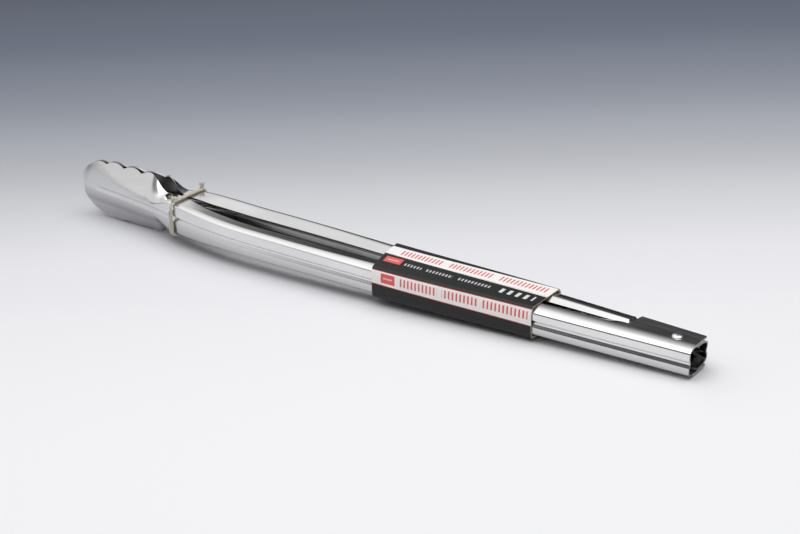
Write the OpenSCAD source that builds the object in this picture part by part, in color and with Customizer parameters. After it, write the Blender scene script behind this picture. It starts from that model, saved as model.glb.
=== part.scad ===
// Spring loaded kitchen tongs with scalloped heads, closed and lying on a side.
// Millimetres. +X runs from the heads to the pivot end, +Y from the outer arm
// to the inner arm, +Z up. Each module is one physical piece.

/* [Arms] */
// Length over heads and pivot end
total_len = 400; // [250:1:420]
// Sheet thickness
sheet = 0.9; // [0.6:0.1:1.5]
// Half height of the arm channel
arm_half = 7.7; // [6:0.1:9]
// Extra half height of the channel at the neck
neck_rise = 1.3; // [0:0.1:2]
// Depth of the outer arm's flanges
flange = 11.2; // [8:0.1:14]
// Extra depth of the inner arm's flanges
inner_extra = 1.8; // [0:0.1:2.5]
// Droop of the flange edges towards the inside
droop = 1.2; // [0:0.1:1.5]
// Half height of the groove pressed along the web
groove_half = 2.3; // [1.5:0.1:3]
// Depth of the groove
groove = 0.9; // [0.3:0.1:1.2]
// Depth of the rounded shoulders near the heads
shoulder_front = 3.6; // [2:0.1:6]
// Depth of the rounded shoulders at the pivot end
shoulder_back = 8; // [4:0.1:9]
// Half width over the closed arms at the pivot end
tail_half = 9.5; // [8:0.1:11]
// Half width over the closed arms where they bow out most
belly_half = 17.2; // [14:0.1:22]
// Sideways bend of the closed pair where it is widest
pair_bend = 2; // [0:0.1:3]
// Distance of the widest place from the tip
belly_at = 150; // [110:5:220]
// Half width over the closed arms at the neck
neck_half = 12.6; // [11:0.1:15]
// Half width over the closed heads at the tip
tip_half = 2.9; // [2.5:0.1:5]
// Inward curl of the tip
tip_curl = 1.9; // [0:0.1:1.9]

/* [Heads] */
// Length of a head up to its neck
head_len = 81; // [60:1:90]
// Half height of a head over its lobes
head_half = 17.9; // [12:0.1:22]
// Distance between lobes
lobe_pitch = 14.2; // [10:0.1:18]
// Depth of the notches between lobes
lobe_depth = 1.9; // [1:0.1:4]
// Lean of the wings towards the other head
wing_lean = 7.4; // [1:0.1:9]
// Extra length of the inner arm's wings
wing_extra = 9.5; // [0:0.5:10]

/* [Pivot and spring] */
// Distance of the pivot from the pivot end
pin_back = 11; // [9:0.5:20]
// Pivot pin radius
pin_r = 2; // [1.5:0.1:3]
// Length of the deep ears on the outer arm
ear_len = 35.5; // [30:0.5:60]
// Spring wire diameter
wire = 1.2; // [0.8:0.1:2]
// Mean radius of the spring coil
coil_r = 3.1; // [2.8:0.1:4]
// Turns in the coil
turns = 3; // [2:1:5]

/* [Sleeve and tie] */
// Distance of the card sleeve from the tip
sleeve_at = 221.4; // [180:0.1:240]
// Length of the card sleeve
sleeve_len = 97; // [60:1:110]
// Card thickness
card = 0.6; // [0.3:0.1:0.8]
// Depth of the rounded folds of the sleeve
fold = 3.4; // [2:0.1:6]
// Distance of the tie from the tip
tie_at = 83.5; // [82:0.5:95]
// Tie string diameter
string_d = 1.4; // [1:0.1:2]

/* [Hidden] */
half_len = total_len / 2;
nest_half = arm_half - sheet - 0.3;
nest_from = total_len - ear_len - 5.5;
pin_x = total_len - pin_back;
pin_y = 0.3;
foot = arm_half + 1.1;
tilt = atan((head_half - foot) / (pin_x - 45));
lift = (pin_x + 1.6 - half_len) * sin(tilt) + foot * cos(tilt);
steel = [0.80, 0.81, 0.83];
half_n = 12;
nest_flange = 14;

function clamp01(t) = min(1, max(0, t));
function ease(t) = let(c = clamp01(t)) c * c * (3 - 2 * c);
function herm(t, a, b, sa, sb) =
    a * (1 + 2 * t) * (1 - t) * (1 - t) + sa * t * (1 - t) * (1 - t)
    + b * t * t * (3 - 2 * t) - sb * t * t * (1 - t);

// Half width over the closed arms at distance x from the tip.
function bow(x) =
    x < head_len ? herm(x / head_len, tip_half, neck_half, 0.08 * head_len, 0.18 * head_len)
        - tip_curl * pow(1 - clamp01(x / 8), 2.5)
    : x < belly_at ? herm((x - head_len) / (belly_at - head_len), neck_half, belly_half,
                          0.18 * (belly_at - head_len), 0)
    : herm(clamp01((x - belly_at) / (total_len - belly_at)), belly_half, tail_half,
           0, -0.05 * (total_len - belly_at));

// Middle between the closed arms at distance x.
function mid(x) = -pair_bend * ease((x - 50) / 90) * (1 - ease((x - 220) / 100));

// Half height of a head at x, with its lobes.
function planform(x, kind) =
    x < 26 ? 4.5 + (head_half - 4.5) * pow(max(0, 1 - pow(1 - x / 26, 2)), 0.62)
    : head_half - (head_half - arm_half - neck_rise)
        * ease((x - 58 - kind * wing_extra) / 13);
function lobes(x, kind) =
    lobe_depth * (1 - abs(sin(180 * (x - 7.2) / lobe_pitch))) * ease((x - 10) / 8)
    * (1 - ease((x - 57 - kind * wing_extra) / 5));
function wing_edge(x, kind) = planform(x, kind) - lobes(x, kind);

// Depth of the flanges at x. kind 0 is the outer arm, 1 the inner arm.
function flange_at(x, kind) =
    let(open_gap = min(flange + kind * inner_extra, bow(x) - 0.5))
    kind == 0
    ? open_gap + (2 * bow(x) - 1.6 - open_gap) * ease((x - (total_len - ear_len) + 0.8) / 2)
    : x < nest_from + 3.7 ? open_gap
    : nest_flange - 4 * ease((x - pin_x - 3) / (pin_back - 3));

// Half height of the channel, half height of its flat face and depth of its shoulders.
function height_at(x, kind) =
    arm_half + neck_rise * (1 - ease((x - 84) / 50))
    - kind * (arm_half - nest_half) * ease((x - nest_from) / 3.5);
function face_at(x, kind) = height_at(x, kind) - 1.5 - 1.3 * ease((x - 90) / 220);
function shoulder_at(x) =
    shoulder_front + (shoulder_back - shoulder_front) * ease((x - 150) / 170);

// Droop of a flange edge at x.
function droop_at(x, kind) =
    droop * ease((x - 84) / 20)
    * (1 - ease(kind == 0 ? (x - 350) / 12 : (x - nest_from) / 3.5));

// Groove along the web, i from 0 to 3.
function groove_point(i, deep) = [groove_half * i / 3, deep * (1 + cos(60 * i)) / 2];

// Channel section, from the middle of the web (i = 0) to the flange edge.
function arm_point(i, x, kind) =
    let(h = height_at(x, kind), f = face_at(x, kind), d = shoulder_at(x))
    i <= 3 ? groove_point(i, groove)
    : i <= 10 ? let(a = 15 * (i - 4)) [f + (h - f) * sin(a), 0.12 + d * (1 - cos(a))]
    : let(t = (i - 10) / (half_n - 10))
        [h - droop_at(x, kind) * t, 0.12 + d + (flange_at(x, kind) - 0.12 - d) * t];

// Head section: the groove runs in and the wings lean back from it.
function head_point(i, x, kind) =
    let(edge = max(0, min(wing_lean, bow(x) - sheet - 0.3)),
        top = wing_edge(x, kind), foot = min(3.4, top - 1), t = (i - 4) / (half_n - 4))
    i <= 3 ? let(p = groove_point(i, groove * ease((x - 8) / 8))) [p[0] * min(1, foot / 3), p[1]]
    : let(z = foot + (top - foot) * t, rise = (z - foot) / (planform(x, kind) - foot))
        [z, edge * (0.04 + 0.96 * pow(rise, 1.3))];

function section_point(i, x, kind) =
    let(m = ease((x - 62 - kind * 4) / 18), j = abs(i),
        a = arm_point(j, x, kind), h = head_point(j, x, kind),
        p = m >= 1 ? a : m <= 0 ? h : h * (1 - m) + a * m)
    [i < 0 ? -p[0] : p[0], p[1]];

// Direction into the channel, square to the section.
function inward(i, x, kind) =
    let(a = section_point(max(-half_n, i - 1), x, kind),
        b = section_point(min(half_n, i + 1), x, kind),
        d = b - a, l = norm(d))
    [-d[1] / l, d[0] / l];

function stations() = concat(
    [for (k = [0 : 55]) 0.2 + (head_len + 3 - 0.2) * k / 56],
    [for (k = [0 : 14]) head_len + 3 + (nest_from - head_len - 3) * k / 15],
    [for (k = [0 : 8]) nest_from + (total_len - ear_len - 1 - nest_from) * k / 9],
    [for (k = [0 : 4]) total_len - ear_len - 1 + 2.5 * k / 5],
    [for (k = [0 : 7]) total_len - ear_len + 1.5 + (ear_len - 1.5) * k / 7]);

function skin(x, kind) =
    let(s = kind == 0 ? -1 : 1, w = bow(x))
    concat(
        [for (i = [-half_n : half_n])
            let(p = section_point(i, x, kind))
            [x - half_len, mid(x) + s * (w - p[1]), p[0]]],
        [for (i = [half_n : -1 : -half_n])
            let(p = section_point(i, x, kind) + sheet * inward(i, x, kind))
            [x - half_len, mid(x) + s * (w - p[1]), p[0]]]);

// Skin a list of closed rings with triangles and close both ends.
module loft(rings, flip, first_cap, last_cap) {
    n = len(rings[0]);
    m = len(rings);
    points = [for (r = rings) for (p = r) p];
    sides = [for (k = [0 : m - 2]) for (i = [0 : n - 1])
        let(a = k * n + i, b = k * n + (i + 1) % n)
        for (t = [[a, b, b + n], [a, b + n, a + n]]) t];
    all_faces = concat(sides, first_cap, last_cap);
    polyhedron(points = points,
        faces = flip ? [for (f = all_faces) [f[2], f[1], f[0]]] : all_faces);
}

// Triangles over the end of a folded strip whose two sides run together.
function strip_cap(base, n, back) =
    [for (i = [0 : n / 2 - 2])
        let(a = base + i, b = base + i + 1, c = base + n - 2 - i, d = base + n - 1 - i)
        for (t = back ? [[a, c, b], [a, d, c]] : [[a, b, c], [a, c, d]]) t];

module arm(kind) {
    xs = stations();
    rings = [for (x = xs) skin(x, kind)];
    n = len(rings[0]);
    difference() {
        loft(rings, kind == 1, strip_cap(0, n, true),
            strip_cap((len(rings) - 1) * n, n, false));
        translate([pin_x - half_len, pin_y, -20])
            cylinder(r = pin_r + (kind == 0 ? 0.03 : 0.06), h = 40, $fn = 64);
    }
}

module lay() {
    translate([0, 0, lift]) rotate([0, tilt, 0]) children();
}

module outer_arm() {
    color(steel) lay() arm(0);
}

module inner_arm() {
    color(steel) lay() arm(1);
}

module pivot_pin() {
    color([0.88, 0.88, 0.9]) lay() translate([pin_x - half_len, pin_y, 0])
        rotate_extrude($fn = 64) polygon(concat(
            [[0, -foot]],
            [for (k = [0 : 5]) let(a = k * 15)
                [1.6 + 1.3 * sin(a), -arm_half - 0.35 - 0.75 * cos(a)]],
            [[2.9, -arm_half - 0.05], [pin_r, -arm_half - 0.05],
             [pin_r, arm_half + 0.05], [2.9, arm_half + 0.05]],
            [for (k = [5 : -1 : 0]) let(a = k * 15)
                [1.6 + 1.3 * sin(a), arm_half + 0.35 + 0.75 * cos(a)]],
            [[0, foot]]));
}

// A round tube along a path. up is a direction the path never follows.
function tube_ring(path, k, r, up, n) =
    let(a = path[max(0, k - 1)], b = path[min(len(path) - 1, k + 1)],
        t = (b - a) / norm(b - a), s0 = cross(t, up), s = s0 / norm(s0), v = cross(s, t))
    [for (i = [0 : n - 1]) let(w = -360 * i / n) path[k] + r * (s * cos(w) + v * sin(w))];

module tube(path, r, up, n) {
    m = len(path);
    loft([for (k = [0 : m - 1]) tube_ring(path, k, r, up, n)], true,
        [for (i = [1 : n - 2]) [0, i + 1, i]],
        [for (i = [1 : n - 2]) [(m - 1) * n, (m - 1) * n + i, (m - 1) * n + i + 1]]);
}

leg_x = pin_x - 40;
leg_y = bow(leg_x) - groove - sheet - wire / 2 - 0.3;
coil_h = turns * (wire + 0.06);
spring_path = concat(
    [for (k = [0 : 5]) let(t = k / 6)
        [leg_x + (pin_x - leg_x) * t,
         -leg_y + (pin_y - coil_r + leg_y) * t, -coil_h / 2]],
    [for (k = [0 : turns * 20 + 10]) let(a = -90 + k * 18)
        [pin_x + coil_r * cos(a), pin_y + coil_r * sin(a),
         -coil_h / 2 + coil_h * k / (turns * 20 + 10)]],
    [for (k = [1 : 6]) let(t = k / 6)
        [pin_x + (leg_x - pin_x) * t,
         pin_y + coil_r + (leg_y - pin_y - coil_r) * t, coil_h / 2]]);

module torsion_spring() {
    color([0.55, 0.56, 0.58]) lay() translate([-half_len, 0, 0])
        tube(spring_path, wire / 2, [0, 0, 1], 8);
}

// Card sleeve. side -1 is the near half, 1 the far half. They meet on top at sleeve_cut.
function sleeve_cut(side) = 1.2 + side * 0.15;
function wrap_points(x, side, g) =
    let(w = bow(x) + g, h = arm_half + g, m = mid(x))
    concat([[m + sleeve_cut(side), h]],
        [for (k = [0 : 12]) let(a = abs(90 - 15 * k))
            [m + side * (w - fold * (1 - pow(cos(a), 0.6))), (k <= 6 ? h : -h) * pow(sin(a), 0.6)]],
        [[m + sleeve_cut(side), -h]]);
function sleeve_ring(t, side) =
    let(x = sleeve_at + sleeve_len * t, lean = 0.17 * (t - 1),
        p = wrap_points(x, side, 0.3), q = wrap_points(x, side, 0.3 + card), n = len(p))
    concat([for (k = [0 : n - 1]) [x - half_len + lean * p[k][0], p[k][0], p[k][1]]],
        [for (k = [n - 1 : -1 : 0]) [x - half_len + lean * p[k][0], q[k][0], q[k][1]]]);

module sleeve_half(side) {
    rings = [for (k = [0 : 10]) sleeve_ring(k / 10, side)];
    n = len(rings[0]);
    loft(rings, side < 0, strip_cap(0, n, true), strip_cap(10 * n, n, false));
}

module sleeve_near_half() {
    color([0.08, 0.08, 0.09]) lay() sleeve_half(-1);
}

module sleeve_far_half() {
    color([0.94, 0.93, 0.9]) lay() sleeve_half(1);
}

// The tie goes twice round both arms just behind the heads.
tie_w = bow(tie_at) + string_d / 2 + 0.5;
tie_h = arm_half + neck_rise + string_d / 2 + 0.45;
tie_r = 3.4;
function tie_side(u) =
    let(q = floor(u), t = u - q, sx = [1, -1, -1, 1][q % 4], sz = [1, 1, -1, -1][q % 4],
        ex = [-1, -1, 1, 1][q % 4], ez = [1, -1, -1, 1][q % 4],
        a = 90 * q, cy = sx * (tie_w - tie_r), cz = sz * (tie_h - tie_r),
        ny = ex * (tie_w - tie_r), nz = ez * (tie_h - tie_r),
        f = clamp01((t - 0.4) / 0.6))
    t < 0.4
    ? [cy + tie_r * cos(90 * q + 90 * t / 0.4), cz + tie_r * sin(90 * q + 90 * t / 0.4)]
    : [cy + tie_r * cos(90 * q + 90) + (ny - cy) * f,
       cz + tie_r * sin(90 * q + 90) + (nz - cz) * f];
tie_path = [for (k = [0 : 76]) let(u = 1.5 + k * 0.1, p = tie_side(u))
    [tie_at - half_len + 2.6 * (k - 38) / 76, mid(tie_at) + p[0], p[1]]];

module tie_string() {
    color([0.9, 0.88, 0.8]) lay() tube(tie_path, string_d / 2, [1, 0, 0], 8);
}

module tie_knot() {
    color([0.9, 0.88, 0.8]) lay()
        translate([tie_at - half_len, mid(tie_at) - tie_w + tie_r - 0.5, tie_h + 1.9])
        scale([1.2, 1, 0.8]) sphere(r = 1.7, $fn = 24);
}

module tie_tuft() {
    color([0.88, 0.85, 0.76]) lay()
        translate([tie_at - half_len, mid(tie_at) + tie_w - tie_r + 1, tie_h + 0.9])
        rotate([0, 25, 0]) cylinder(r1 = 0.8, r2 = 1.6, h = 3.2, $fn = 24);
}

outer_arm();
inner_arm();
pivot_pin();
torsion_spring();
sleeve_near_half();
sleeve_far_half();
tie_string();
tie_knot();
tie_tuft();
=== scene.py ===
import math
import random

import bpy
import numpy as np
from mathutils import Matrix, Vector


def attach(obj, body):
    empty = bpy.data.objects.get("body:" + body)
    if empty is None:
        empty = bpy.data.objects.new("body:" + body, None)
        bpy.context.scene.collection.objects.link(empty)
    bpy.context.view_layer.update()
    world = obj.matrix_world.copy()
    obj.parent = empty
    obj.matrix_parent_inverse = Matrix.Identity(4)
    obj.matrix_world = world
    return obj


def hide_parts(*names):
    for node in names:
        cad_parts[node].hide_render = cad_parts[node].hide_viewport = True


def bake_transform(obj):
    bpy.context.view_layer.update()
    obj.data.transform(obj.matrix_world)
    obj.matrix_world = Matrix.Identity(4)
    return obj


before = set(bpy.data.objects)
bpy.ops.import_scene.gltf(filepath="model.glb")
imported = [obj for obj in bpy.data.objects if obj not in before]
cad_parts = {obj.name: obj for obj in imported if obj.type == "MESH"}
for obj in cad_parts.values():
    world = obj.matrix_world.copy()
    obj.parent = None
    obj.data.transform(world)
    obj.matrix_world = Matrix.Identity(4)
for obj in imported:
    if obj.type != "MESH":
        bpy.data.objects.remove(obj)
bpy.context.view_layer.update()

OUTER, INNER = "outer_side", "inner_side"

# ---------------------------------------------------------------- sizes
# In mm. x runs along an arm from the tip of its head, y across the pair of arms, and z is
# the height of the channel. Heights and widths of the arms are given from the middle.
# kind is 0 for the outer arm and 1 for the inner arm, which is nested at the pivot end.
TOTAL_L = 400.0
HALF_L = TOTAL_L / 2
SHEET = 0.9

# Channel: half height, how much higher it is at the neck, flanges, groove and shoulders.
ARM_H, NECK_RISE, NECK_FADE = 7.7, 1.3, 50.0
FLANGE, INNER_EXTRA, FLANGE_GAP = 11.2, 1.8, 0.5
DROOP, DROOP_L = 1.2, 20.0
GROOVE_H, GROOVE, GROOVE_X, GROOVE_IN = 2.3, 0.9, 8.0, 8.0
WEB_CROWN = 0.12
SHOULDER_FRONT, SHOULDER_BACK, SHOULDER_L = 3.6, 8.0, 170.0
FACE_FRONT, FACE_LOSS, FACE_X, FACE_L = 1.5, 1.3, 90.0, 220.0

# Width of one arm from the line between the arms to its web, and the pair's sideways bend.
TIP_W, NECK_W, BELLY_W, TAIL_W = 2.9, 12.6, 17.2, 9.5
TIP_SLOPE, NECK_SLOPE, TAIL_SLOPE = 0.08, 0.18, -0.05
TIP_CURL, TIP_CURL_L = 1.9, 8.0
BELLY_X = 150.0
BEND, BEND_X, BEND_L, UNBEND_X, UNBEND_L = 2.0, 50.0, 90.0, 220.0, 100.0

# Head: half height over the lobes, the round tip, the wings and their lobes.
HEAD_L, HEAD_H = 81.0, 17.9
TIP_L, TIP_H, TIP_POWER = 26.0, 4.5, 0.62
WING_END, WING_FADE, WING_EXTRA, LEAN = 58.0, 13.0, 9.5, 7.4
LOBE_PITCH, LOBE_DEPTH, LOBE_X = 14.2, 1.9, 7.2
LOBES_FROM, LOBES_IN, LOBES_TO, LOBES_OUT = 10.0, 8.0, 57.0, 5.0
HEAD_FLAT, HEAD_CROWN, WING_POWER = 3.4, 0.04, 1.3
CHANNEL_FROM, CHANNEL_FADE, INNER_DELAY = 62.0, 18.0, 4.0
NECK_END = HEAD_L + 3

# Pivot end: the outer arm's ears, the inner arm nested between them, and the pin.
PIN_X, PIN_Y, PIN_R = 389.0, 0.3, 2.0
PIN_HEAD_R, PIN_HEAD_H = 2.9, 1.0
EAR_L, EAR_GAP, EAR_STEP = 35.5, 1.6, 2.0
EAR_X = TOTAL_L - EAR_L
EAR_FLAT_X, EAR_FLAT_L = 350.0, 12.0
NEST_X, NEST_STEP = EAR_X - 2.9, 1.8
NEST_FLANGE, NEST_CUT, NEST_CUT_X, NEST_CUT_L = 14.0, 4.0, PIN_X + 3, 8.0
NEST_H = ARM_H - SHEET - 0.3

# The closed tongs lie on the edge of their heads and on the lower pin head.
FOOT = ARM_H + 1.1
LOBE_REST_X, FOOT_REST = 45.0, 1.6
TILT = math.atan((HEAD_H - FOOT) / (PIN_X - LOBE_REST_X))
LIFT = (PIN_X + FOOT_REST - HALF_L) * math.sin(TILT) + FOOT * math.cos(TILT)
LAY = np.array([[math.cos(TILT), 0, math.sin(TILT)], [0, 1, 0],
                [-math.sin(TILT), 0, math.cos(TILT)]])


def lay(points):
    """Points on the arms in mm to the frame in metres."""
    points = np.asarray(points, float).reshape(-1, 3) - [HALF_L, 0, 0]
    return (points @ LAY.T + [0, 0, LIFT]) / 1000


# ---------------------------------------------------------------- camera
CAM_TURN, CAM_DIP, CAM_ROLL = 36.178, 24.487, -0.913  # degrees
CAM_RIGHT, CAM_DOWN, CAM_BACK = 24.70, 5.11, 847.47  # mm, from the middle of the tongs
CAM_LENS, CAM_SENSOR = 72.3015, 36.0
CAM_FAR = 50.0


def make_camera():
    turn, dip, roll = (math.radians(a) for a in (CAM_TURN, CAM_DIP, CAM_ROLL))
    ahead = np.array([-math.sin(turn) * math.cos(dip), math.cos(turn) * math.cos(dip),
                      -math.sin(dip)])
    right = np.array([math.cos(turn), math.sin(turn), 0])
    above = np.cross(right, ahead)
    eye = lay(right * CAM_RIGHT - above * CAM_DOWN - ahead * CAM_BACK + [HALF_L, 0, 0])[0]
    x_axis = LAY @ (right * math.cos(roll) + above * math.sin(roll))
    z_axis = LAY @ ahead
    y_axis = np.cross(x_axis, z_axis)
    cam = bpy.data.objects.new("camera", bpy.data.cameras.new("camera"))
    cam.data.sensor_width = CAM_SENSOR
    cam.data.lens = CAM_LENS
    cam.data.clip_end = CAM_FAR
    place = Matrix(np.column_stack([x_axis, y_axis, -z_axis]).tolist()).to_4x4()
    place.translation = Vector(eye)
    cam.matrix_world = place
    bpy.context.scene.collection.objects.link(cam)
    bpy.context.scene.camera = cam


make_camera()


# ---------------------------------------------------------------- arm shape
def clamp01(t):
    return min(1.0, max(0.0, t))


def ease(t):
    """0 up to t = 0, 1 from t = 1, smooth between."""
    c = clamp01(t)
    return c * c * (3 - 2 * c)


def hermite(t, start, end, start_slope, end_slope):
    """A cubic from start to end for t from 0 to 1, with the slopes given."""
    return (start * (1 + 2 * t) * (1 - t) ** 2 + start_slope * t * (1 - t) ** 2
            + end * t * t * (3 - 2 * t) - end_slope * t * t * (1 - t))


def bow(x):
    """Distance from the line between the arms to the outer face of an arm's web."""
    if x < HEAD_L:
        width = hermite(x / HEAD_L, TIP_W, NECK_W, TIP_SLOPE * HEAD_L, NECK_SLOPE * HEAD_L)
        return width - TIP_CURL * (1 - clamp01(x / TIP_CURL_L)) ** 2.5
    if x < BELLY_X:
        run = BELLY_X - HEAD_L
        return hermite((x - HEAD_L) / run, NECK_W, BELLY_W, NECK_SLOPE * run, 0)
    run = TOTAL_L - BELLY_X
    return hermite(clamp01((x - BELLY_X) / run), BELLY_W, TAIL_W, 0, TAIL_SLOPE * run)


def mid(x):
    """Sideways place of the line between the arms."""
    return -BEND * ease((x - BEND_X) / BEND_L) * (1 - ease((x - UNBEND_X) / UNBEND_L))


def planform(x, kind):
    """Half height of the head and neck, without the lobes."""
    if x < TIP_L:
        return TIP_H + (HEAD_H - TIP_H) * max(0, 1 - (1 - x / TIP_L) ** 2) ** TIP_POWER
    drop = ease((x - WING_END - kind * WING_EXTRA) / WING_FADE)
    return HEAD_H - (HEAD_H - ARM_H - NECK_RISE) * drop


def lobes(x, kind):
    """How far the scalloped edge cuts into the wings."""
    wave = 1 - abs(math.sin(math.pi * (x - LOBE_X) / LOBE_PITCH))
    end = (x - LOBES_TO - kind * WING_EXTRA) / LOBES_OUT
    return LOBE_DEPTH * wave * ease((x - LOBES_FROM) / LOBES_IN) * (1 - ease(end))


def flange_at(x, kind):
    """How far the flange's edge is from the outer face of the web."""
    reach = min(FLANGE + kind * INNER_EXTRA, bow(x) - FLANGE_GAP)
    if kind == 0:
        return reach + (2 * bow(x) - EAR_GAP - reach) * ease((x - EAR_X + 0.8) / EAR_STEP)
    if x < NEST_X + 1.9:
        return reach
    return NEST_FLANGE - NEST_CUT * ease((x - NEST_CUT_X) / NEST_CUT_L)


def height_at(x, kind):
    """Half height of the channel."""
    return (ARM_H + NECK_RISE * (1 - ease((x - NECK_END) / NECK_FADE))
            - kind * (ARM_H - NEST_H) * ease((x - NEST_X) / NEST_STEP))


def face_at(x, kind):
    """Half height of the web's flat face."""
    return height_at(x, kind) - FACE_FRONT - FACE_LOSS * ease((x - FACE_X) / FACE_L)


def droop_at(x, kind):
    """How far the flange's edge lies below its shoulder."""
    end = (x - EAR_FLAT_X) / EAR_FLAT_L if kind == 0 else (x - NEST_X) / NEST_STEP
    return DROOP * ease((x - NECK_END) / DROOP_L) * (1 - ease(end))


def shoulder_at(x):
    """Depth of the rounded shoulder between web and flange."""
    return SHOULDER_FRONT + (SHOULDER_BACK - SHOULDER_FRONT) * ease((x - BELLY_X) / SHOULDER_L)


# A half section's points: groove, flat face, shoulder, flange.
GROOVE_N, FACE_N, SHOULDER_N, FLANGE_N = 8, 3, 22, 6
HALF_N = GROOVE_N + FACE_N + SHOULDER_N + FLANGE_N


def groove_point(j, deep):
    """Point j of the groove pressed along the middle of the web."""
    t = j / GROOVE_N
    return np.array([GROOVE_H * t, deep * (1 + math.cos(math.pi * t)) / 2])


def arm_point(j, x, kind):
    """Point j of the channel's half section at x: its height, and its depth from the bow."""
    high, face, deep = height_at(x, kind), face_at(x, kind), shoulder_at(x)
    if j <= GROOVE_N:
        return groove_point(j, GROOVE)
    j -= GROOVE_N
    if j <= FACE_N:
        return np.array([GROOVE_H + (face - GROOVE_H) * j / FACE_N, WEB_CROWN * (j / FACE_N) ** 2])
    j -= FACE_N
    if j <= SHOULDER_N:
        a = math.pi / 2 * j / SHOULDER_N
        return np.array([face + (high - face) * math.sin(a),
                         WEB_CROWN + deep * (1 - math.cos(a))])
    t = (j - SHOULDER_N) / FLANGE_N
    return np.array([high - droop_at(x, kind) * t,
                     WEB_CROWN + deep + (flange_at(x, kind) - WEB_CROWN - deep) * t])


def head_point(j, x, kind):
    """Point j of the head's half section at x: a flat middle and a wing that leans in."""
    lean = max(0, min(LEAN, bow(x) - SHEET - 0.3))
    top = planform(x, kind) - lobes(x, kind)
    flat = min(HEAD_FLAT, top - 1)
    squeeze = min(1, flat / 3)
    if j <= GROOVE_N:
        p = groove_point(j, GROOVE * ease((x - GROOVE_X) / GROOVE_IN))
        return np.array([p[0] * squeeze, p[1]])
    j -= GROOVE_N
    if j <= FACE_N:
        low = GROOVE_H * squeeze
        return np.array([low + (flat - low) * j / FACE_N, HEAD_CROWN * lean * (j / FACE_N) ** 2])
    t = (j - FACE_N) / (SHOULDER_N + FLANGE_N)
    z = flat + (top - flat) * t
    rise = max(0.0, (z - flat) / (planform(x, kind) - flat))
    return np.array([z, lean * (HEAD_CROWN + (1 - HEAD_CROWN) * rise ** WING_POWER)])


def half_section(x, kind):
    """The sheet's outer face at x from the groove to the edge, head turning into channel."""
    m = ease((x - CHANNEL_FROM - kind * INNER_DELAY) / CHANNEL_FADE)
    if m == 0:
        return np.array([head_point(j, x, kind) for j in range(HALF_N + 1)])
    if m == 1:
        return np.array([arm_point(j, x, kind) for j in range(HALF_N + 1)])
    return np.array([head_point(j, x, kind) * (1 - m) + arm_point(j, x, kind) * m
                     for j in range(HALF_N + 1)])


def stations():
    """Places of the sections, closest together at the lobes and at the steps by the ears."""
    spans = ((0.2, 14, 24), (14, NECK_END, 150), (NECK_END, NEST_X, 90),
             (NEST_X, EAR_X - 1, 16), (EAR_X - 1, EAR_X + 1.5, 12))
    places = [np.linspace(start, end, count, endpoint=False) for start, end, count in spans]
    return np.concatenate(places + [np.linspace(EAR_X + 1.5, TOTAL_L, 24)])


# ---------------------------------------------------------------- meshes
def new_mesh(name, verts, faces, smooth=True):
    me = bpy.data.meshes.new(name)
    me.from_pydata([tuple(v) for v in verts], [], faces)
    me.polygons.foreach_set("use_smooth", [smooth] * len(me.polygons))
    me.update()
    o = bpy.data.objects.new(name, me)
    bpy.context.scene.collection.objects.link(o)
    return o


def mark_sharp(o, pairs):
    """Sharp edges given as pairs of vertex numbers."""
    me = o.data
    want = {(min(a, b), max(a, b)) for a, b in pairs}
    att = me.attributes.get("sharp_edge") or me.attributes.new("sharp_edge", "BOOLEAN", "EDGE")
    ends = [(min(e.vertices[0], e.vertices[1]), max(e.vertices[0], e.vertices[1]))
            for e in me.edges]
    att.data.foreach_set("value", [pair in want for pair in ends])


def strip_solid(name, outer, inner, flip):
    """A sheet with square edges between two faces, each an array (rows, points, 3) in mm.

    flip turns the mesh's faces over, for the arm that is the other's mirror image.
    """
    rows, n, _ = outer.shape
    verts = np.concatenate([outer.reshape(-1, 3), inner.reshape(-1, 3)])
    k = rows * n
    faces, sharp = [], []
    for i in range(rows - 1):
        for j in range(n - 1):
            a, b, c, d = i * n + j, i * n + j + 1, (i + 1) * n + j + 1, (i + 1) * n + j
            faces.append((a, b, c, d))
            faces.append((k + d, k + c, k + b, k + a))
        for j in (0, n - 1):
            a, d = i * n + j, (i + 1) * n + j
            faces.append((a, d, k + d, k + a) if j == 0 else (d, a, k + a, k + d))
            sharp += [(a, d), (k + a, k + d)]
    for i in (0, rows - 1):
        for j in range(n - 1):
            a, b = i * n + j, i * n + j + 1
            faces.append((b, a, k + a, k + b) if i == 0 else (a, b, k + b, k + a))
            sharp += [(a, b), (k + a, k + b)]
    if flip:
        faces = [tuple(reversed(f)) for f in faces]
    o = new_mesh(name, lay(verts), faces)
    mark_sharp(o, sharp)
    return o


def run_along(path):
    """Distance of each point from the first, along the path."""
    steps = np.linalg.norm(np.diff(path, axis=0), axis=1)
    return np.concatenate([[0], np.cumsum(steps)])


def frames_along(path, up):
    """The path's direction at each point, and two directions across it."""
    t = np.gradient(path, axis=0)
    t /= np.linalg.norm(t, axis=1, keepdims=True)
    s = np.cross(t, up)
    s /= np.linalg.norm(s, axis=1, keepdims=True)
    return t, s, np.cross(s, t)


def ring_faces(rings, n, base=0):
    """Faces between rings of n points that follow one another."""
    faces = []
    for k in range(rings - 1):
        for i in range(n):
            a, b = base + k * n + i, base + k * n + (i + 1) % n
            faces.append((a, b, b + n, a + n))
    return faces


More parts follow.
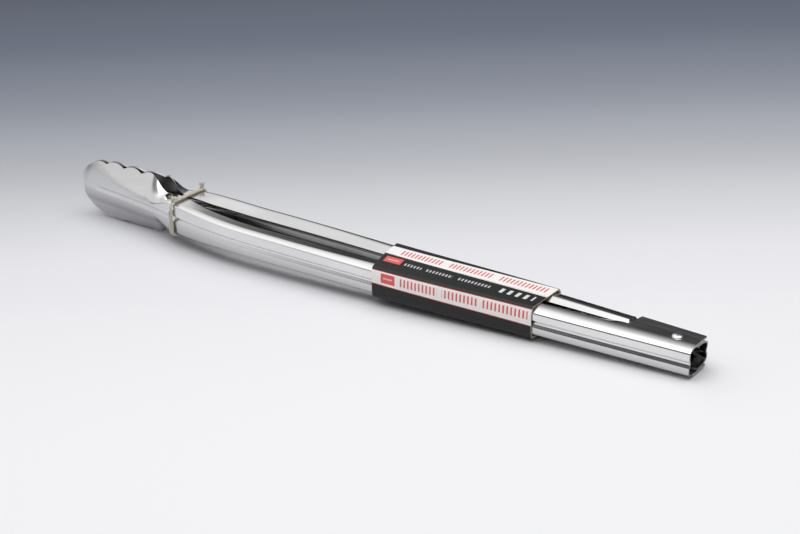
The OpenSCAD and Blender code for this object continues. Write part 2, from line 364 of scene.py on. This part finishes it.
def tube_data(path, radius, up, n, base):
    """A closed tube with its points numbered from base. Two smaller rings round each end."""
    path = np.asarray(path, float)
    radius = np.broadcast_to(np.asarray(radius, float), (len(path),)).copy()
    t, s, v = frames_along(path, np.asarray(up, float))
    start = [path[0] - t[0] * radius[0] * 0.6, path[0] - t[0] * radius[0] * 0.4]
    end = [path[-1] + t[-1] * radius[-1] * 0.4, path[-1] + t[-1] * radius[-1] * 0.6]
    path = np.concatenate([start, path, end])
    radius = np.concatenate([[radius[0] * 0.2, radius[0] * 0.75], radius,
                             [radius[-1] * 0.75, radius[-1] * 0.2]])
    s = np.concatenate([[s[0], s[0]], s, [s[-1], s[-1]]])
    v = np.concatenate([[v[0], v[0]], v, [v[-1], v[-1]]])
    verts = []
    for k in range(len(path)):
        for i in range(n):
            w = 2 * math.pi * i / n
            verts.append(path[k] + radius[k] * (s[k] * math.cos(w) + v[k] * math.sin(w)))
    faces = ring_faces(len(path), n, base)
    faces.append(tuple(base + i for i in reversed(range(n))))
    faces.append(tuple(base + (len(path) - 1) * n + i for i in range(n)))
    return verts, faces


def tubes(name, parts):
    """One mesh of several tubes, each given as path, radius, up and points round it."""
    verts, faces = [], []
    for path, radius, up, n in parts:
        v, f = tube_data(path, radius, up, n, len(verts))
        verts += list(v)
        faces += f
    return new_mesh(name, lay(verts), faces)


# ---------------------------------------------------------------- shader nodes
def material(name):
    """A new material, its node tree and its shader."""
    mat = bpy.data.materials.new(name)
    mat.use_nodes = True
    nt = mat.node_tree
    nt.nodes.clear()
    out = nt.nodes.new("ShaderNodeOutputMaterial")
    shader = nt.nodes.new("ShaderNodeBsdfPrincipled")
    nt.links.new(shader.outputs["BSDF"], out.inputs["Surface"])
    return mat, nt, shader


def node(nt, kind, **sets):
    """A new node, with its sockets and settings given by name."""
    n = nt.nodes.new(kind)
    for k, v in sets.items():
        if k in n.inputs:
            n.inputs[k].default_value = v
        else:
            setattr(n, k, v)
    return n


def stretched_noise(nt, scale, size, detail=2.0, rough=0.5):
    """Noise on object coordinates in metres, stretched by scale per axis."""
    place = node(nt, "ShaderNodeTexCoord")
    stretch = node(nt, "ShaderNodeMapping")
    stretch.inputs["Scale"].default_value = scale
    nt.links.new(place.outputs["Object"], stretch.inputs["Vector"])
    noise = node(nt, "ShaderNodeTexNoise", Scale=size, Detail=detail, Roughness=rough)
    nt.links.new(stretch.outputs["Vector"], noise.inputs["Vector"])
    return noise.outputs["Fac"]


def remap(nt, source, low, high, new_low=0, new_high=1):
    """The source's value moved from one range to another, and kept inside it."""
    n = node(nt, "ShaderNodeMapRange")
    n.inputs["From Min"].default_value = low
    n.inputs["From Max"].default_value = high
    n.inputs["To Min"].default_value = new_low
    n.inputs["To Max"].default_value = new_high
    nt.links.new(source, n.inputs["Value"])
    return n.outputs["Result"]


def ramp_of(nt, source, stops, curve="LINEAR"):
    """Colours from the source's value, with stops as (value, (r, g, b))."""
    n = node(nt, "ShaderNodeValToRGB")
    ramp = n.color_ramp
    ramp.interpolation = curve
    for element, (place, colour) in zip(ramp.elements, (stops[0], stops[-1])):
        element.position = place
        element.color = (*colour, 1)
    for place, colour in stops[1:-1]:
        ramp.elements.new(place).color = (*colour, 1)
    nt.links.new(source, n.inputs["Fac"])
    return n.outputs["Color"]


def along(nt, source, direction):
    """How far the source vector lies in a direction."""
    dot = node(nt, "ShaderNodeVectorMath", operation="DOT_PRODUCT")
    dot.inputs[1].default_value = direction
    nt.links.new(source, dot.inputs[0])
    return dot.outputs["Value"]


def join(nt, kind, a, b):
    """Two colours joined by a blend type at full strength."""
    mix = node(nt, "ShaderNodeMix", data_type="RGBA", blend_type=kind)
    mix.inputs[0].default_value = 1.0
    nt.links.new(a, mix.inputs[6])
    nt.links.new(b, mix.inputs[7])
    return mix.outputs[2]


def bump_of(nt, height, strength, distance, under=None):
    """A bump's normal, laid over another bump's where one is given."""
    n = node(nt, "ShaderNodeBump", Strength=strength, Distance=distance)
    nt.links.new(height, n.inputs["Height"])
    if under is not None:
        nt.links.new(under, n.inputs["Normal"])
    return n.outputs["Normal"]


# ---------------------------------------------------------------- steel and string
# Painted shade on the steel by height, from the lower edge of a wing, 18 mm below the middle of
# the channel, to 2 mm above it. The edge of the channel mirrors its own shadow and is painted
# darkest.
PAINTED_SHADE = [(0.0, (0.78, 0.76, 0.78)), (0.4, (0.72, 0.7092, 0.72)), (0.5, (0.54, 0.5319, 0.54)),
             (0.65, (0.68, 0.6698, 0.68)), (0.75, (0.77, 0.75845, 0.77)), (0.9, (1, 1, 1))]
PAINTED_SHADE_LOW, PAINTED_SHADE_HIGH = -0.018, 0.002
ROLL_MARKS, ROLL_WAVER = 175.0, 1.6


def painted_underside_shade(nt, colour):
    """The colour with painted shade, darker towards the lower edge."""
    low, high = lay([0, 0, 0])[0], lay([0, 0, 1])[0]
    axis = [(h - g) * 1000 for g, h in zip(low, high)]
    middle = sum(a * g for a, g in zip(axis, low))
    place = node(nt, "ShaderNodeTexCoord")
    height = remap(nt, along(nt, place.outputs["Object"], axis),
                   middle + PAINTED_SHADE_LOW, middle + PAINTED_SHADE_HIGH)
    # Painted shade: the colour is multiplied by a ramp that darkens it towards the lower edge.
    return join(nt, "MULTIPLY", colour, ramp_of(nt, height, PAINTED_SHADE))


def steel_material(name, base, rough, ripple, brush):
    """Rolled steel: faint tint, painted shade towards the lower edge, streaked gloss, chatter,
    brushing and roller marks.
    """
    mat, nt, shader = material(name)
    shader.inputs["Metallic"].default_value = 1.0
    dull = tuple(c * 0.93 for c in base)
    tint = ramp_of(nt, stretched_noise(nt, (0.3, 1, 1), 90, 3), [(0.35, dull), (0.7, base)])
    # Painted shade: the tint is darkened towards the lower edge of the steel.
    nt.links.new(painted_underside_shade(nt, tint), shader.inputs["Base Color"])
    smear = stretched_noise(nt, (0.06, 1, 1), 700, 3, 0.6)
    nt.links.new(remap(nt, smear, 0.3, 0.7, rough * 0.75, rough * 1.35),
                 shader.inputs["Roughness"])
    place = node(nt, "ShaderNodeTexCoord")
    rolls = node(nt, "ShaderNodeTexWave", Scale=ROLL_MARKS, Distortion=ROLL_WAVER, Detail=1.0)
    rolls.inputs["Detail Scale"].default_value = 0.4
    nt.links.new(place.outputs["Object"], rolls.inputs["Vector"])
    chatter = bump_of(nt, stretched_noise(nt, (1, 0.12, 0.12), 520, 1), ripple, 0.00002)
    fine = bump_of(nt, stretched_noise(nt, (0.04, 1, 1), 1500, 2), brush, 0.00001, chatter)
    marks = bump_of(nt, rolls.outputs["Fac"], ripple * 2.4, 0.00001, fine)
    nt.links.new(marks, shader.inputs["Normal"])
    return mat


def string_material():
    """Undyed string: matt fibres that vary from pale to brown."""
    mat, nt, shader = material("string")
    fibres = stretched_noise(nt, (1, 1, 1), 2600, 4, 0.7)
    colour = ramp_of(nt, fibres, [(0.3, (0.42, 0.36, 0.27)), (0.65, (0.80, 0.76, 0.66))])
    nt.links.new(colour, shader.inputs["Base Color"])
    shader.inputs["Roughness"].default_value = 0.9
    shader.inputs["Sheen Weight"].default_value = 0.3
    nt.links.new(bump_of(nt, fibres, 0.6, 0.0001), shader.inputs["Normal"])
    return mat


STEEL = steel_material("polished_steel", (0.80, 0.80, 0.80), 0.16, 0.25, 0.3)
PIN_STEEL = steel_material("pin_steel", (0.9, 0.9, 0.9), 0.2, 0.1, 0.2)
WIRE_STEEL = steel_material("wire_steel", (0.50, 0.50, 0.51), 0.35, 0.1, 0.5)
CUT_STEEL = steel_material("cut_steel", (0.30, 0.29, 0.28), 0.35, 0.1, 0.5)
STRING = string_material()


def give(o, mat):
    """Give a new piece its material."""
    o.data.materials.clear()
    o.data.materials.append(mat)
    return o


# ---------------------------------------------------------------- arms
CUT_END = 0.0004  # metres from the pivot end that count as the cut face


def placed(x, side, section):
    """A section's points at x, with their depth measured in from the bow."""
    y = mid(x) + side * (bow(x) - section[:, 1])
    return np.column_stack([np.full(len(section), x), y, section[:, 0]])


def make_arm(name, kind):
    """A pressed sheet, with cut steel on its end and on the inner arm's rims."""
    side = -1 if kind == 0 else 1
    outs, ins = [], []
    for x in stations():
        half = half_section(x, kind)
        full = np.concatenate([half[:0:-1] * [-1, 1], half])
        slope = np.gradient(full, axis=0)
        length = np.linalg.norm(slope, axis=1, keepdims=True)
        inward = np.column_stack([-slope[:, 1], slope[:, 0]]) / length
        outs.append(placed(x, side, full))
        ins.append(placed(x, side, full + SHEET * inward))
    o = strip_solid(name, np.array(outs), np.array(ins), kind == 1)
    me = o.data
    me.materials.append(STEEL)
    me.materials.append(CUT_STEEL)
    end = max(v.co.x for v in me.vertices) - CUT_END
    n, k = len(outs[0]), len(outs) * len(outs[0])
    for f in me.polygons:
        on_rim = {i % k % n for i in f.vertices} in ({0}, {n - 1})
        if on_rim and kind == 1 or all(me.vertices[i].co.x > end for i in f.vertices):
            f.material_index = 1
    return o


outer = make_arm("outer_arm_sheet", 0)
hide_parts("outer_arm")
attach(outer, OUTER)
inner = make_arm("inner_arm_sheet", 1)
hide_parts("inner_arm")
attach(inner, INNER)


# ---------------------------------------------------------------- pivot pin
def make_pin():
    """A pin with a domed head at each end, turned round its axis."""
    seat = ARM_H + 0.05
    profile = [(0, -FOOT)]
    for k in range(1, 9):
        a = math.radians(k * 90 / 8)
        profile.append((PIN_HEAD_R * math.sin(a), -ARM_H - 0.1 - PIN_HEAD_H * math.cos(a)))
    profile += [(PIN_HEAD_R, -seat), (PIN_R, -seat), (PIN_R, 0)]
    profile += [(r, -z) for r, z in reversed(profile[:-1])]
    n = 48
    verts = []
    for r, z in profile:
        for i in range(n):
            w = 2 * math.pi * i / n
            verts.append((PIN_X + r * math.cos(w), PIN_Y + r * math.sin(w), z))
    return new_mesh("pivot_pin_domed", lay(verts), ring_faces(len(profile), n))


pin = give(make_pin(), PIN_STEEL)
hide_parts("pivot_pin")
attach(pin, OUTER)

# ---------------------------------------------------------------- spring
WIRE, COIL_R, TURNS = 1.2, 3.1, 3
LEG_X = PIN_X - 40
LEG_Y = bow(LEG_X) - GROOVE - SHEET - WIRE / 2 - 0.3
COIL_H = TURNS * (WIRE + 0.06)
LEG_N, TURN_N = 12, 40


def spring_path():
    """One leg to the coil, the coil round the pin with half a turn more, and the other leg."""
    p = []
    for k in range(LEG_N):
        t = k / LEG_N
        p.append((LEG_X + (PIN_X - LEG_X) * t, -LEG_Y + (PIN_Y - COIL_R + LEG_Y) * t, -COIL_H / 2))
    n = TURNS * TURN_N + TURN_N // 2
    for k in range(n + 1):
        a = math.radians(-90 + k * 360 / TURN_N)
        p.append((PIN_X + COIL_R * math.cos(a), PIN_Y + COIL_R * math.sin(a),
                  -COIL_H / 2 + COIL_H * k / n))
    for k in range(1, LEG_N + 1):
        t = k / LEG_N
        p.append((PIN_X + (LEG_X - PIN_X) * t,
                  PIN_Y + COIL_R + (LEG_Y - PIN_Y - COIL_R) * t, COIL_H / 2))
    return p


spring = give(tubes("spring_wire", [(spring_path(), WIRE / 2, (0, 0, 1), 14)]),
              WIRE_STEEL)
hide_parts("torsion_spring")
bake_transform(spring)

# ---------------------------------------------------------------- sleeve
SLEEVE_X, SLEEVE_L = 221.4, 97.0
CARD, CARD_GAP, FOLD, FOLD_POWER = 0.6, 0.3, 3.4, 0.6
JOIN_Y, JOIN_GAP = 1.2, 0.1
LEAN_NEAR, LEAN_FAR = 0.28, 0.17
SLEEVE_ROWS, WRAP_N = 41, 41

BLACK, WHITE = (0.008, 0.009, 0.009, 1), (0.92, 0.90, 0.88, 1)
RED, DARK_RED, FAINT_RED = (0.78, 0.12, 0.11, 1), (0.50, 0.05, 0.07, 1), (0.88, 0.50, 0.46, 1)
GREY, PALE = (0.55, 0.56, 0.55, 1), (0.72, 0.72, 0.70, 1)


def sleeve_material():
    """Black card with white strips, plain badges and rows of strokes that spell nothing."""
    mat, nt, shader = material("printed_card")
    uv = node(nt, "ShaderNodeUVMap", uv_map="print")
    parts = node(nt, "ShaderNodeSeparateXYZ")
    nt.links.new(uv.outputs["UV"], parts.inputs["Vector"])
    # u runs along the card and v round it, in mm, from the middle of the near face.
    u, v = parts.outputs["X"], parts.outputs["Y"]

    def fill(n, socket, value):
        if isinstance(value, (int, float, tuple)):
            n.inputs[socket].default_value = value
        else:
            nt.links.new(value, n.inputs[socket])

    def calc(op, a, b=None):
        n = node(nt, "ShaderNodeMath", operation=op)
        fill(n, 0, a)
        if b is not None:
            fill(n, 1, b)
        return n.outputs[0]

    def both(a, b):
        return calc("MULTIPLY", a, b)

    def between(value, low, high):
        return both(calc("GREATER_THAN", value, low), calc("LESS_THAN", value, high))

    def slanted(slope):
        """v corrected for a line that climbs by slope as it runs along the card."""
        return calc("ADD", v, calc("MULTIPLY", u, slope))

    def badge(left, right, low, high):
        return both(between(u, left, right), between(v, low, high))

    def strokes(line, low, high, period, share, words):
        """Thin strokes between two heights of a line, in groups along the card."""
        bars = calc("LESS_THAN", calc("FRACT", calc("DIVIDE", u, period)), share)
        groups = between(u, *words[0])
        for word in words[1:]:
            groups = calc("MAXIMUM", groups, between(u, *word))
        return both(both(bars, groups), between(line, low, high))

    def over(base, mask, ink):
        n = node(nt, "ShaderNodeMix", data_type="RGBA")
        for socket, value in ((0, mask), (6, base), (7, ink)):
            fill(n, socket, value)
        return n.outputs[2]

    edge, row = slanted(0.014), slanted(0.028)
    layers = (
        (both(calc("GREATER_THAN", edge, 0.1), calc("LESS_THAN", v, 7.9)), WHITE),
        (between(edge, 0.1, 0.5), DARK_RED),
        (between(v, 7.5, 7.9), DARK_RED),
        (strokes(v, 2.0, 6.2, 2.3, 0.44, ((17.5, 41.5), (44.5, 66.5), (68.5, 95))), RED),
        (badge(6.0, 15.0, 1.6, 6.7), RED),
        (badge(7.6, 13.4, 3.8, 4.7), FAINT_RED),
        (both(calc("GREATER_THAN", slanted(0.048), 26.3),
              calc("LESS_THAN", slanted(0.027), 35.5)), WHITE),
        (strokes(slanted(0.026), 28.2, 33.4, 2.1, 0.42, ((7.5, 33), (37, 62), (66, 94))), RED),
        (strokes(row, 18.4, 21.0, 1.95, 0.5, ((15, 26), (28.5, 45), (48, 67.5))), GREY),
        (strokes(row, 17.0, 21.8, 4.6, 0.42, ((71, 93),)), PALE),
        (badge(2.6, 13.2, 17.4, 23.6), RED),
        (badge(4.4, 11.4, 20.0, 21.0), FAINT_RED),
    )
    colour = BLACK
    for mask, ink in layers:
        colour = over(colour, mask, ink)
    nt.links.new(colour, shader.inputs["Base Color"])
    grain = stretched_noise(nt, (1, 1, 1), 900, 4, 0.6)
    nt.links.new(remap(nt, grain, 0.3, 0.7, 0.36, 0.52), shader.inputs["Roughness"])
    shader.inputs["Specular IOR Level"].default_value = 0.35
    nt.links.new(bump_of(nt, grain, 0.15, 0.0001), shader.inputs["Normal"])
    return mat


def board_material():
    """The card's unprinted inside and its cut edges."""
    mat, nt, shader = material("raw_board")
    pulp = stretched_noise(nt, (1, 1, 1), 3000, 3, 0.6)
    colour = ramp_of(nt, pulp, [(0, (0.40, 0.33, 0.22)), (1, (0.72, 0.66, 0.52))])
    nt.links.new(colour, shader.inputs["Base Color"])
    shader.inputs["Roughness"].default_value = 0.85
    return mat


def wrap_line(x, side, gap):
    """The card's (y, z) line round one arm, from the join above to the join below."""
    w, h, m = bow(x) + gap, ARM_H + gap, mid(x)
    seam = m + JOIN_Y + side * JOIN_GAP
    line = [(seam, h)]
    for t in np.linspace(90, -90, WRAP_N):
        a = math.radians(abs(t))
        z = h * math.sin(a) ** FOLD_POWER
        turned = FOLD * (1 - max(0.0, math.cos(a)) ** FOLD_POWER)
        line.append((m + side * (w - turned), z if t >= 0 else -z))
    line.append((seam, -h))
    return np.array(line)


def make_sleeve(name, side):
    """Half of the card loop, with a map of the print on its outside."""
    outs, ins, us, vs = [], [], [], []
    for t in np.linspace(0, 1, SLEEVE_ROWS):
        x = SLEEVE_X + SLEEVE_L * t
        lean = (LEAN_NEAR if side < 0 else LEAN_FAR) * (t - 1)
        inside = wrap_line(x, side, CARD_GAP)
        outside = wrap_line(x, side, CARD_GAP + CARD)
        xs = x + lean * inside[:, 0]
        outs.append(np.column_stack([xs, outside]))
        ins.append(np.column_stack([xs, inside]))
        near_run = run_along(wrap_line(x, -1, CARD_GAP + CARD))
        us.append(np.full(len(outside), SLEEVE_L * t))
        vs.append(near_run[WRAP_N // 2 + 1] + side * run_along(outside))
    o = strip_solid(name, np.array(outs), np.array(ins), side > 0)
    me = o.data
    n = len(outs) * len(outs[0])
    u, v = np.concatenate(us), np.concatenate(vs)
    layer = me.uv_layers.new(name="print")
    for loop in me.loops:
        k = loop.vertex_index % n
        layer.data[loop.index].uv = (u[k], v[k])
    me.materials.append(PRINT)
    me.materials.append(BOARD)
    for f in me.polygons:
        f.material_index = 0 if all(i < n for i in f.vertices) else 1
    return o


PRINT, BOARD = sleeve_material(), board_material()
near_card = make_sleeve("sleeve_card_near", -1)
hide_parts("sleeve_near_half")
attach(near_card, OUTER)
far_card = make_sleeve("sleeve_card_far", 1)
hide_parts("sleeve_far_half")
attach(far_card, INNER)

# ---------------------------------------------------------------- string tie
TIE_X, STRING_D = 83.5, 1.4
TIE_W = bow(TIE_X) + STRING_D / 2 + 0.5
TIE_H = ARM_H + NECK_RISE + STRING_D / 2 + 0.45
TIE_R, TIE_CORNER = 3.4, 0.4  # corner radius, and a corner's share of each quarter
TIE_CORNERS = ((1, 1), (-1, 1), (-1, -1), (1, -1))
TIE_START, TIE_TENTHS, TIE_N = 1.5, 76, 520  # in quarters, in tenths of one, and points
TIE_ADVANCE, PLY_PITCH, PLY_N = 2.6, 2.6, 10


def tie_point(quarter):
    """A point on the rounded rectangle round both arms, a corner and a side per quarter."""
    q = int(math.floor(quarter)) % 4
    t = quarter - math.floor(quarter)
    half_y, half_z = TIE_W - TIE_R, TIE_H - TIE_R
    y, z = TIE_CORNERS[q]
    next_y, next_z = TIE_CORNERS[(q + 1) % 4]
    a = math.radians(90 * q + 90 * min(t / TIE_CORNER, 1))
    f = clamp01((t - TIE_CORNER) / (1 - TIE_CORNER))
    return (y * half_y + TIE_R * math.cos(a) + (next_y * half_y - y * half_y) * f,
            z * half_z + TIE_R * math.sin(a) + (next_z * half_z - z * half_z) * f)


def twisted(path, radius, up, pitch):
    """Two plies wound round each other along a path."""
    path = np.asarray(path, float)
    _, s, v = frames_along(path, np.asarray(up, float))
    plies = []
    for phase in (0, math.pi):
        w = (2 * math.pi * run_along(path) / pitch + phase)[:, None]
        plies.append((path + radius * 0.45 * (s * np.cos(w) + v * np.sin(w)),
                      radius * 0.6, up, PLY_N))
    return plies


def make_tie():
    """Nearly two turns of string round both arms, moving on along them."""
    path = []
    for k in np.linspace(0, TIE_TENTHS, TIE_N):
        y, z = tie_point(TIE_START + k * 0.1)
        x = TIE_X + TIE_ADVANCE * (k - TIE_TENTHS / 2) / TIE_TENTHS
        path.append((x, mid(TIE_X) + y, z))
    return tubes("tie_string_twisted", twisted(path, STRING_D / 2, (1, 0, 0), PLY_PITCH))


tie = give(make_tie(), STRING)
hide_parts("tie_string")
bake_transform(tie)

KNOT_N, KNOT_SIDES, KNOT_UP = 160, 10, (0.1, 0.2, 1)
FIBRE_N, FIBRE_SIDES, FIBRE_UP = 10, 6, (0.3, 1, 0.2)
FIBRE_R, FIBRE_TIP_R = 0.16, 0.05


def knot_path(centre, size):
    """A trefoil knot lying on its side."""
    p = []
    for k in range(KNOT_N):
        t = 2 * math.pi * k / KNOT_N
        p.append((centre[0] + size * 0.55 * (math.sin(t) + 2 * math.sin(2 * t)) * 0.6,
                  centre[1] + size * 0.55 * (math.cos(t) - 2 * math.cos(2 * t)) * 0.6,
                  centre[2] - size * 0.5 * math.sin(3 * t)))
    return p


rnd = random.Random(11)


def fray(centre, count, length, spread, up):
    """Loose fibres that thin out and bend away from a knot."""
    parts = []
    for _ in range(count):
        d = np.array([rnd.uniform(-1, 1) * spread, rnd.uniform(-1, 1) * spread, 1.0]) + up
        d /= np.linalg.norm(d)
        bend = np.array([rnd.uniform(-1, 1), rnd.uniform(-1, 1), -0.3]) * 0.5
        t = np.linspace(0, 1, FIBRE_N)[:, None]
        path = (np.array(centre) + d * length * t * rnd.uniform(0.7, 1.1)
                + bend * t ** 2 * length * 0.4)
        parts.append((path, np.linspace(FIBRE_R, FIBRE_TIP_R, FIBRE_N), FIBRE_UP, FIBRE_SIDES))
    return parts


def frayed_knot(name, centre, size, strand, fibres):
    """A knot of a strand with the radius given, and its loose fibres, as one piece."""
    knotted = (knot_path(centre, size), strand, KNOT_UP, KNOT_SIDES)
    return give(tubes(name, [knotted] + fibres), STRING)


knot_at = (TIE_X, mid(TIE_X) - TIE_W + TIE_R - 0.5, TIE_H + 1.3)
knot = frayed_knot("tie_knot_wound", knot_at, 1.3, 0.62,
                   fray(knot_at, 10, 3.0, 0.7, np.array([-0.5, -0.4, 0])))
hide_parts("tie_knot")
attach(knot, OUTER)
tuft_at = (TIE_X, mid(TIE_X) + TIE_W - TIE_R + 1, TIE_H + 0.9)
tuft = frayed_knot("tie_tuft_frayed", tuft_at, 1.0, 0.5,
                   fray(tuft_at, 26, 3.6, 0.8, np.array([0.2, 0.1, 0.2])))
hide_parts("tie_tuft")
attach(tuft, INNER)

# ---------------------------------------------------------------- stage and light
TABLE = 4.0  # metres from the middle to each edge
FLOOR_TURN = math.radians(35.3)
AWAY = (-math.sin(FLOOR_TURN), math.cos(FLOOR_TURN), 0)

# The table's colour by distance in metres, away from the camera past the tongs.
FLOOR_FROM, FLOOR_TO = -0.4, 1.2
FLOOR = [(-0.4, (0.81, 0.82, 0.84)), (-0.21, (0.84, 0.84, 0.855)), (-0.096, (0.832, 0.832, 0.85)),
         (-0.025, (0.802, 0.80, 0.83)), (0.06, (0.725, 0.727, 0.757)),
         (0.163, (0.525, 0.535, 0.568)), (0.289, (0.326, 0.346, 0.396)),
         (0.449, (0.186, 0.209, 0.261)), (0.637, (0.125, 0.143, 0.185)), (1.2, (0.06, 0.07, 0.09))]

# The room's light: three brightnesses that are multiplied and one that is added, each by how
# far a direction lies towards another.
SIDE_WAY, SIDE_REACH = (-0.795, -0.606, 0), 0.3
SIDE = [(-0.3, 0.05), (-0.17, 0.05), (-0.12, 0.14), (0.0, 0.42), (0.03, 0.75), (0.3, 0.78)]
FRONT_WAY, FRONT_REACH = (-0.848, 0.530, 0), 0.18
FRONT = [(0.0, 0.12), (1.0, 1.0)]
LOW_WAY, LOW_REACH = (-0.25 * AWAY[0], -0.25 * AWAY[1], 1), 0.06
LOW = [(0.0, 0.1), (1.0, 1.0)]
UP = [(0.0, 0.0), (0.5, 0.0), (0.75, 0.35), (1.0, 0.6)]
ROOM = 1.0

LAMP_AT, LAMP_SIZE, LAMP_POWER = (0.2, -0.12, 1.1), (1.5, 1.2), 9.7


def share(stops, low, high):
    """Stops moved from the range low to high to 0 to 1."""
    return [((place - low) / (high - low), value) for place, value in stops]


def greys(stops):
    """Stops with a brightness, turned into stops with a colour."""
    return [(place, (value, value, value)) for place, value in stops]


def make_stage():
    """A table top that turns from near white in front to blue grey behind."""
    corners = ((-TABLE, -TABLE, 0), (TABLE, -TABLE, 0), (TABLE, TABLE, 0), (-TABLE, TABLE, 0))
    o = new_mesh("table_top", corners, [(0, 1, 2, 3)], False)
    mat, nt, shader = material("table_top")
    place = node(nt, "ShaderNodeTexCoord")
    distance = remap(nt, along(nt, place.outputs["Object"], AWAY), FLOOR_FROM, FLOOR_TO)
    colour = ramp_of(nt, distance, share(FLOOR, FLOOR_FROM, FLOOR_TO), "CARDINAL")
    nt.links.new(colour, shader.inputs["Base Color"])
    shader.inputs["Roughness"].default_value = 0.7
    shader.inputs["Specular IOR Level"].default_value = 0.1
    o.data.materials.append(mat)


def make_world():
    """Soft room light from the left and above, dark to the right and low behind."""
    world = bpy.data.worlds.new("world")
    world.use_nodes = True
    nt = world.node_tree
    background = nt.nodes["Background"]
    sky = node(nt, "ShaderNodeTexCoord").outputs["Generated"]
    parts = node(nt, "ShaderNodeSeparateXYZ")
    nt.links.new(sky, parts.inputs["Vector"])

    def towards(way, reach, stops, curve):
        return ramp_of(nt, remap(nt, along(nt, sky, way), -reach, reach), greys(stops), curve)

    side = towards(SIDE_WAY, SIDE_REACH, share(SIDE, -SIDE_REACH, SIDE_REACH), "CARDINAL")
    front = towards(FRONT_WAY, FRONT_REACH, FRONT, "EASE")
    low = towards(LOW_WAY, LOW_REACH, LOW, "EASE")
    up = ramp_of(nt, parts.outputs["Z"], greys(UP), "EASE")
    around = join(nt, "MULTIPLY", join(nt, "MULTIPLY", side, front), low)
    nt.links.new(join(nt, "ADD", around, up), background.inputs["Color"])
    background.inputs["Strength"].default_value = ROOM
    bpy.context.scene.world = world


def make_lamp():
    """A wide soft light over the table, pointing at the middle of the tongs."""
    light = bpy.data.lights.new("overhead", "AREA")
    light.shape = "RECTANGLE"
    light.size, light.size_y = LAMP_SIZE
    light.energy = LAMP_POWER
    o = bpy.data.objects.new("overhead", light)
    o.location = LAMP_AT
    o.rotation_euler = (-Vector(LAMP_AT)).to_track_quat("-Z", "Y").to_euler()
    bpy.context.scene.collection.objects.link(o)


make_stage()
make_world()
make_lamp()
bpy.context.scene.view_settings.view_transform = "Standard"
